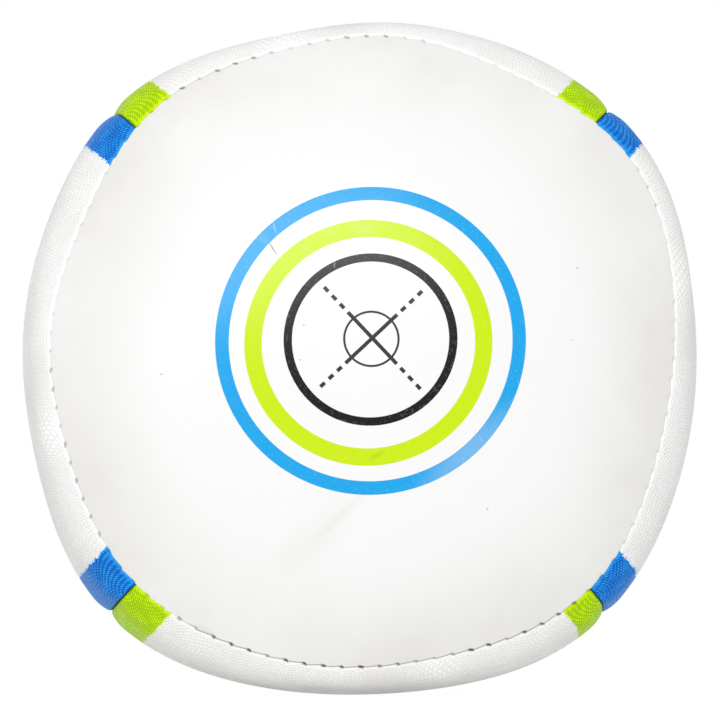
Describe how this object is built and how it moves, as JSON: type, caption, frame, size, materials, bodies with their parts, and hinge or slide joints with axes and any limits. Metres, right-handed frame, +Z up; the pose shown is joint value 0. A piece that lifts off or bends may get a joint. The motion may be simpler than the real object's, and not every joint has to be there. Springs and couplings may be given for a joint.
{
  "type": "rugby ball",
  "caption": "Size 5 rugby ball with one flat, softly domed end and one pointed end: four pimpled panels and a smooth face, sewn round a bladder.",
  "frame": {"origin": "on the floor, straight below the middle of the ball's length and width, as it lies on its bottom panel", "axes": "+Z up, through the pump valve; +Y along the ball's long axis from the flat face to the tip; +X to the right of someone who looks at the flat face"},
  "size_m": [0.1858, 0.2042, 0.1856],
  "materials": {
    "pimpled_rubber": "white rubber moulded with fine round pimples, slightly worn",
    "lining_cloth": "plies of woven polyester and cotton bonded with latex",
    "smooth_cover": "smooth semi-gloss white polyurethane synthetic leather with a printed ring target",
    "foam": "closed-cell foam sheet, grey",
    "bladder_latex": "thin natural rubber, matt",
    "valve_rubber": "black moulded rubber",
    "valve_core_rubber": "soft black moulded rubber",
    "thread": "waxed cream polyester thread"
  },
  "bodies": {
    "root": {"panel_top": "pimpled_rubber", "panel_right": "pimpled_rubber", "panel_bottom": "pimpled_rubber", "panel_left": "pimpled_rubber", "lining_top": "lining_cloth", "lining_right": "lining_cloth", "lining_bottom": "lining_cloth", "lining_left": "lining_cloth", "face_cover": "smooth_cover", "face_lining": "lining_cloth", "face_foam": "foam", "bladder": "bladder_latex", "valve_patch": "valve_rubber", "valve_body": "valve_rubber", "valve_core": "valve_core_rubber", "seam_thread_top_right": "thread", "seam_thread_bottom_right": "thread", "seam_thread_bottom_left": "thread", "seam_thread_top_left": "thread", "rim_thread": "thread"}
  },
  "joints": []
}
